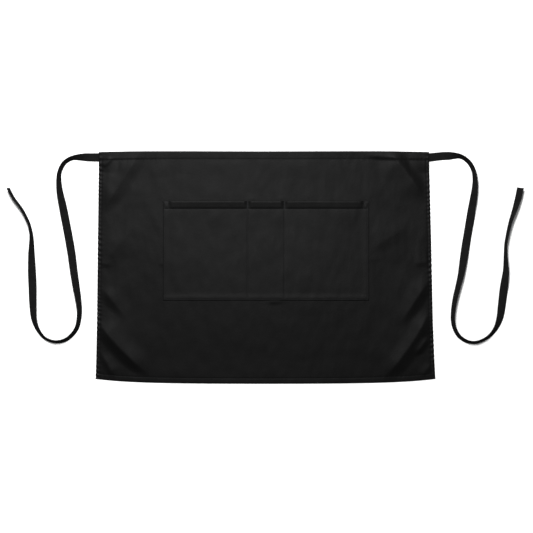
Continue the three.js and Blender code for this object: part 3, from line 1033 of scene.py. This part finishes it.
@dataclass
class Panel:
    """The main panel, and the flaps turned under along its four edges."""

    sizes: ApronSizes
    dresser: Dresser
    wall: float = 0.8
    fine_step: float = 2.5
    coarse_step: float = 6.2
    fold_zone: float = 150.0
    seam_end: float = 1.5

    def __post_init__(self) -> None:
        """Set up the panel's form."""
        self.form = PanelForm(self.sizes)

    def marks(self, seam: float, flap: float) -> list[float]:
        """Distances from an edge where the mesh needs a line, up to its flap's end."""
        return [*edge_marks(self.form.edge_roll, seam), flap + 2]

    def build(self) -> Piece:
        """Returns:
            The finished panel.
        """
        s = self.sizes
        waist = self.marks(s.waist_seam, s.waist_flap)
        left = stations([*self.marks(s.side_seam, s.side_flap), self.fold_zone], self.fine_step)
        middle = stations([self.fold_zone, s.panel_width - self.fold_zone], self.coarse_step)
        columns = np.concatenate([left, middle[1:-1], (s.panel_width - left)[::-1]])
        marks = [*self.marks(s.hem_seam, s.hem_flap), *(s.panel_height - np.array(waist))[::-1]]
        rows = stations(marks, self.fine_step)
        piece = cloth_sheet("apron_panel", columns, rows, self.form.points, self.wall)
        self.dresser.dress_cloth(piece, "main_panel")
        self.flaps()
        return piece

    def flap(
        self, name: str, node: str, place: Callable[[Array, Array], tuple[Array, Array]],
        span: tuple[float, float], depth: float,
    ) -> Piece:
        """Model a flap: a strip under the panel whose outer edge rolls up to meet it.

        Args:
            name: The piece's name.
            node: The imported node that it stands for.
            place: Turns a distance in from the edge and one along it into across and up.
            span: Where the flap starts and ends along the edge.
            depth: How far it reaches in from the edge.

        Returns:
            The finished flap.
        """
        roll = (2 * self.sizes.cloth + self.sizes.gap) / 2
        wall = 0.9 * self.wall
        turns = np.radians([0, 30, 60, 90])
        outer = [(roll - roll * math.sin(t), roll - roll * math.cos(t)) for t in turns]
        inner = roll - wall
        back = [(roll - inner * math.sin(t), roll - inner * math.cos(t)) for t in turns[::-1]]
        reach = np.linspace(depth - 0.3, roll, 4)
        under = [(d, 0.0) for d in reach[:-1]]
        over = [(d, wall) for d in reach[::-1][1:]]
        profile = np.array([*under, *outer, *back, *over])
        along = stations(span, self.fine_step)
        at = self.form.spots(*place(*np.meshgrid(profile[:, 0], along)))
        x, y = self.form.outline(at)
        rings = np.stack([x + self.form.waver(at), y, self.form.base(at) + profile[:, 1]], axis=-1)
        return self.dresser.dress_cloth(lofted(name, rings, along, profile, 2 * depth), node)

    def flaps(self) -> list[Piece]:
        """Model the four flaps.

        Returns:
            The waist flap, the hem flap and the two side flaps.
        """
        s = self.sizes
        upright = (s.hem_flap + s.gap, s.panel_height - s.waist_flap - s.gap)
        level = (0.0, s.panel_width)
        rows = (
            ("waist_flap", "waistband", lambda d, a: (a, s.panel_height - d), level, s.waist_flap),
            ("hem_flap", "bottom_hem", lambda d, a: (a, d), level, s.hem_flap),
            ("side_flap_left", "side_hem_left", lambda d, a: (d, a), upright, s.side_flap),
            ("side_flap_right", "side_hem_right", lambda d, a: (s.panel_width - d, a), upright, s.side_flap),
        )
        return [self.flap(*row) for row in rows]

    def stitch(self) -> None:
        """Stitch the four hems."""
        s = self.sizes
        near, far = s.side_seam, s.panel_width - s.side_seam
        low, high = s.hem_seam, s.panel_height - s.waist_seam
        left, right = self.seam_end, s.panel_width - self.seam_end
        self.dresser.sew_lines(self.form, {
            "waist_stitches": [((left, high), (right, high))],
            "hem_stitches": [((left, low), (right, low))],
            "side_stitches_left": [((near, low), (near, high))],
            "side_stitches_right": [((far, low), (far, high))],
        })


@dataclass
class Pocket:
    """The divided patch pocket, the flap of its mouth, and its seams."""

    sizes: ApronSizes
    dresser: Dresser
    wall: float = 0.8
    step: float = 3.2
    flap_gap: float = 0.15
    flap_inset: float = 0.6
    high_end: float = 1.5
    box_top: float = 1.6
    tack_width: float = 3.2
    tack_pitch: float = 0.62
    tack_slant: float = 0.24

    def __post_init__(self) -> None:
        """Set up the patch's form."""
        self.form = PatchForm(self.sizes)

    def build(self, panel: Piece) -> None:
        """Args:
            panel: The piece that the patch lies on; not used.
        """
        s = self.sizes
        near = edge_marks(self.form.edge_roll, s.patch_seam, SEAM_OFFSETS[1:])
        beside = [d + offset for d in self.form.dividers for offset in (-3, *SEAM_OFFSETS, 3)]
        columns = stations([*near, *beside, *(s.pocket_width - mark for mark in near[::-1])], self.step)
        seam = [s.mouth_seam - offset for offset in SEAM_OFFSETS]
        brim = [self.form.mouth_crest * share for share in (1, 0.6, 0.3, 0.12, 0.03, 0)]
        rows = stations([*near, *(s.pocket_height - np.array([*seam, *brim]))], self.step)
        patch = cloth_sheet("pocket_patch", columns, rows, self.form.points, self.wall)
        self.dresser.dress(patch, self.dresser.patch_twill, "twill_cloth", "pocket_panel")
        flaps = [self.mouth_flap()]

    def mouth_flap(self) -> Piece:
        """Model the flap turned under along the mouth.

        Returns:
            The finished flap.
        """
        s = self.sizes
        rows = s.pocket_height - np.array([s.mouth_flap, s.mouth_seam, 8.0, 4.0, 1.6, 0.5])
        columns = stations([self.flap_inset, s.pocket_width - self.flap_inset], self.step)
        drop = UPWARD * (self.wall + self.flap_gap)
        piece = cloth_sheet(
            "mouth_flap", columns, rows, lambda across, up: self.form.points(across, up) - drop, self.wall
        )
        return self.dresser.dress_cloth(piece, "pocket_mouth_hem")

    def stitch(self) -> None:
        """Stitch the patch down, its mouth, its dividers and its tacks."""
        s = self.sizes
        near, far = s.patch_seam, s.pocket_width - s.patch_seam
        high = s.pocket_height - self.high_end
        mouth = s.pocket_height - s.mouth_seam
        self.dresser.sew_lines(self.form, {
            "patch_stitches": [
                ((near, near), (near, high)), ((near, near), (far, near)), ((far, near), (far, high)),
            ],
            "mouth_stitches": [((1.0, mouth), (s.pocket_width - 1.0, mouth))],
            "divider_stitches": [((d, near), (d, high)) for d in self.form.dividers],
        })
        self.tack()

    def tack(self) -> None:
        """Stitch the crossed boxes in the mouth's corners and the bartacks at the dividers' tops."""
        s = self.sizes
        low = s.pocket_height - s.mouth_seam
        high = s.pocket_height - self.box_top
        boxes = []
        for start in (s.patch_seam, s.pocket_width - s.patch_seam):
            end = start + math.copysign(self.form.corner_box - s.patch_seam, s.pocket_width / 2 - start)
            boxes.extend([
                ((end, low), (end, high)), ((start, high), (end, high)),
                ((start, low), (end, high)), ((start, high), (end, low)),
            ])
        self.dresser.sew_lines(self.form, {"corner_boxes": boxes})
        bars = []
        for divider in self.form.dividers:
            ups = np.arange(low + 1, high, self.tack_pitch)
            centres = self.form.points(np.full_like(ups, divider), ups)
            centres += UPWARD * (self.form.seam_depth + 0.1)
            slant = np.where(np.arange(len(ups)) % 2, self.tack_slant, -self.tack_slant)
            headings = np.stack([np.ones_like(ups), slant, np.zeros_like(ups)], axis=1)
            bars.append(self.dresser.stitcher.row(centres, headings, UPWARD, self.tack_width))
        self.dresser.sew("divider_bartacks", bars)


@dataclass
class Tie:
    """One tie: a long flat tape that is sewn in at the waistband and lies free."""

    sizes: ApronSizes
    dresser: Dresser
    side: Side
    route: Sequence[tuple[float, float, float]]
    step: float = 2.6
    seam: float = 2.2
    seam_depth: float = 0.28
    bar_places: tuple[float, ...] = (2.0, 4.6)
    bar_stitch: float = 2.1
    bar_sunk: float = 0.22

    def __post_init__(self) -> None:
        """Find where the tie leaves the panel's side."""
        s = self.sizes
        form = PanelForm(s)
        across = np.array(0.0 if self.side is Side.LEFT else s.panel_width)
        down = s.tie_inset + s.tie_width / 2
        x, _ = form.outline(form.spots(across, np.array(s.panel_height - down)))
        _, y = form.outline(form.spots(across, np.array(s.panel_height)))
        self.exit = np.array([float(x), float(y) - down])
        self.name = f"tie_{self.side.name.lower()}"

    def points(self) -> Array:
        """Points of the route: X, Y and the roll in degrees."""
        s = self.sizes
        sewn = [(out, 0, 0) for out in (-s.tie_tuck, -s.tie_tuck / 2, 0, s.tie_ledge)]
        out, down, roll = np.array([*sewn, *self.route], float).T
        return np.stack([self.exit[0] + self.side.value * out, self.exit[1] - down, roll], axis=1)

    def line(self) -> tuple[Array, Array]:
        """Run a smooth line through the route's points.

        Returns:
            Points of X, Y and roll along the line, and its heading in plan at each.
        """
        points = self.points()
        padded = np.vstack([2 * points[0] - points[1], points, 2 * points[-1] - points[-2]])
        lengths = np.hypot(*np.diff(points[:, :2], axis=0).T)
        places = []
        for k, length in enumerate(lengths):
            before, start, end, after = padded[k : k + 4]
            # A segment much shorter than its neighbours would swing past its own end
            pull = (end - before) / 2 * min(1, 2 * length / np.hypot(*(end - before)[:2]))
            push = (after - start) / 2 * min(1, 2 * length / np.hypot(*(after - start)[:2]))
            curve = 3 * (end - start) - 2 * pull - push
            twist = pull + push - 2 * (end - start)
            count = max(1, round(length / self.step))
            last = k + 1 == len(lengths)
            for t in np.linspace(0, 1, count + 1)[: None if last else -1]:
                places.append(start + pull * t + curve * t**2 + twist * t**3)
        line = np.array(places)
        heading = np.gradient(line[:, :2], axis=0)
        return line, heading / np.linalg.norm(heading, axis=1, keepdims=True)

    def section(self) -> Array:
        """Outline the tape's section, with soft edges and a dent at its seam.

        Returns:
            Places round it: across its width, and up from its middle.
        """
        half, thick = self.sizes.tie_width / 2, self.sizes.tie_thickness / 2
        shares = (-1, -0.985, -0.94, -0.86, -0.78, -0.725, -0.67, -0.4, 0, 0.4, 0.75, 0.9, 0.97, 1)
        across = half * np.array(shares)
        share = np.abs(across) / half
        rise = thick * (1 - share**10) ** 0.5 * (1 - 0.12 * (1 - share**2))
        rise -= self.seam_depth * groove(across + half - self.seam, 2.4) * (share < 0.97)
        upper = np.stack([across, rise], axis=1)
        return np.vstack([upper, (upper[1:-1] * (1, -1))[::-1]])

    def frames(self) -> tuple[Array, Array, Array, Array]:
        """Work out the tape's place along its line.

        Returns:
            The middle of each section, its width direction, its face direction and its distance along.
        """
        s = self.sizes
        places, heading = self.line()
        roll = np.radians(places[:, 2:])
        leftward = np.stack([-heading[:, 1], heading[:, 0], np.zeros(len(heading))], axis=1)
        wide = leftward * np.cos(roll) + UPWARD * np.sin(roll)
        face = UPWARD * np.cos(roll) - leftward * np.sin(roll)
        section = self.section()
        rises = wide[:, 2:] * section[:, 0] + face[:, 2:] * section[:, 1]
        out = (places[:, 0] - self.exit[0]) * self.side.value
        sewn = (s.cloth + s.gap) * (1 - smoothstep(out, s.tie_ledge, s.tie_landing))
        middle = np.stack([places[:, 0], places[:, 1], sewn - rises.min(axis=1)], axis=1)
        steps = np.linalg.norm(np.diff(middle, axis=0), axis=1)
        return middle, wide, face, np.concatenate([[0], np.cumsum(steps)])

    def build(self) -> None:
        s = self.sizes
        middle, wide, face, along = self.frames()
        section = self.section()
        rings = middle[:, None] + wide[:, None] * section[None, :, :1] + face[:, None] * section[None, :, 1:]
        piece = lofted(f"{self.name}_tape", rings, along, section, 2 * s.tie_width)
        self.dresser.dress(piece, self.dresser.tape, "tie_tape", self.name)

    def stitch(self) -> None:
        """Stitch the tape's open edge on both faces, and bar its free end."""
        s = self.sizes
        stitcher = self.dresser.stitcher
        middle, wide, face, along = self.frames()
        thick = s.tie_thickness / 2
        where = np.arange(s.tie_tuck + 3, along[-1] - 2, stitcher.pitch)
        aside = wide * (self.seam - s.tie_width / 2)
        rows = []
        for sign in (1, -1):
            line = middle + aside + face * sign * (thick - self.seam_depth - 0.05)
            tail, head = [self.sample(line, along, where + shift) for shift in (-0.5, 0.5)]
            normals = self.sample(face * sign, along, where)
            rows.append(stitcher.row((tail + head) / 2, head - tail, normals, stitcher.length))
            for place in self.bar_places:
                spot = along[-1:] - place
                tip, aim, out = [self.sample(v, along, spot) for v in (middle, wide, face * sign)]
                beside = np.linspace(-0.38, 0.38, 6)[:, None] * s.tie_width
                centres = tip + aim * beside + out * (thick - self.bar_sunk)
                rows.append(stitcher.row(centres, aim, out, self.bar_stitch))
        self.dresser.sew(f"{self.name}_stitches", rows)

    @staticmethod
    def sample(values: Array, along: Array, where: Array) -> Array:
        """Read rows of three numbers at distances along the tape."""
        return np.stack([np.interp(where, along, values[:, k]) for k in range(3)], axis=1)


@dataclass
class Studio:
    """Plain white table, soft lights from beyond the waistband, and the camera straight above."""

    view_width: float = 1.1156
    lens: float = 85.0
    sensor: float = 36.0
    aim: tuple[float, float] = (0.002, 0.002)
    key_power: float = 96.0
    key_size: float = 0.6
    key_place: tuple[float, float, float] = (-0.26, 1.1, 2.1)
    fill_power: float = 8.0
    fill_size: float = 1.4
    fill_place: tuple[float, float, float] = (2.4, -0.3, 1.1)
    sky: float = 0.15
    table_size: float = 7.0
    table_drop: float = 0.2 * MM

    def table(self) -> None:
        """Lay the table under the apron."""
        bpy.ops.object.select_all(action="DESELECT")
        bpy.ops.mesh.primitive_plane_add(size=self.table_size)
        table = bpy.context.object
        table.name = "table_top"
        table.data.transform(((1, 0, 0, 0), (0, 1, 0, 0), (0, 0, 1, -self.table_drop), (0, 0, 0, 1)))
        table.data.materials.append(PaintedTable().build())

    def camera(self) -> None:
        """Hang the camera over the apron, with the waistband at the picture's top."""
        distance = self.view_width * self.lens / self.sensor
        bpy.ops.object.camera_add(location=(*self.aim, distance), rotation=(0, 0, 0))
        camera = bpy.context.object
        camera.name = "camera_above"
        camera.data.lens = self.lens
        camera.data.sensor_width = self.sensor
        bpy.context.scene.camera = camera

    def area_light(self, name: str, place: tuple[float, float, float], power: float, size: float) -> None:
        """Hang a soft square light that faces the apron's middle.

        Args:
            name: The light's name.
            place: Where it hangs, in metres.
            power: Its power in watts.
            size: Length of its sides.
        """
        bpy.ops.object.light_add(type="AREA", location=place)
        light = bpy.context.object
        light.name = name
        light.data.energy = power
        light.data.size = size
        light.rotation_euler = light.location.normalized().to_track_quat("Z", "Y").to_euler()

    def build(self) -> None:
        """Set up the whole studio."""
        self.camera()
        self.table()
        self.area_light("key_beyond_waist", self.key_place, self.key_power, self.key_size)
        for side in Side:
            place = (side.value * self.fill_place[0], *self.fill_place[1:])
            self.area_light(f"fill_{side.name.lower()}", place, self.fill_power, self.fill_size)
        world = bpy.data.worlds.new("soft_room")
        world.use_nodes = True
        sky = world.node_tree.nodes["Background"]
        sky.inputs["Color"].default_value = (1, 1, 1, 1)
        sky.inputs["Strength"].default_value = self.sky
        bpy.context.scene.world = world
        bpy.context.scene.view_settings.view_transform = "Standard"


def main() -> None:
    """Build the studio and every piece of the apron."""
    logging.basicConfig(level=logging.INFO, format="%(name)s: %(message)s")
    Studio().build()
    sizes = ApronSizes.from_frame()
    dresser = Dresser()
    ties = [Tie(sizes, dresser, Side.LEFT, LEFT_ROUTE), Tie(sizes, dresser, Side.RIGHT, RIGHT_ROUTE)]
    for tie in ties:
        tie.build()
    panel = Panel(sizes, dresser)
    pocket = Pocket(sizes, dresser)
    pocket.build(panel.build())
    for part in (panel, pocket, *ties):
        part.stitch()
    bpy.context.view_layer.update()


if __name__ == "__main__":
    main()
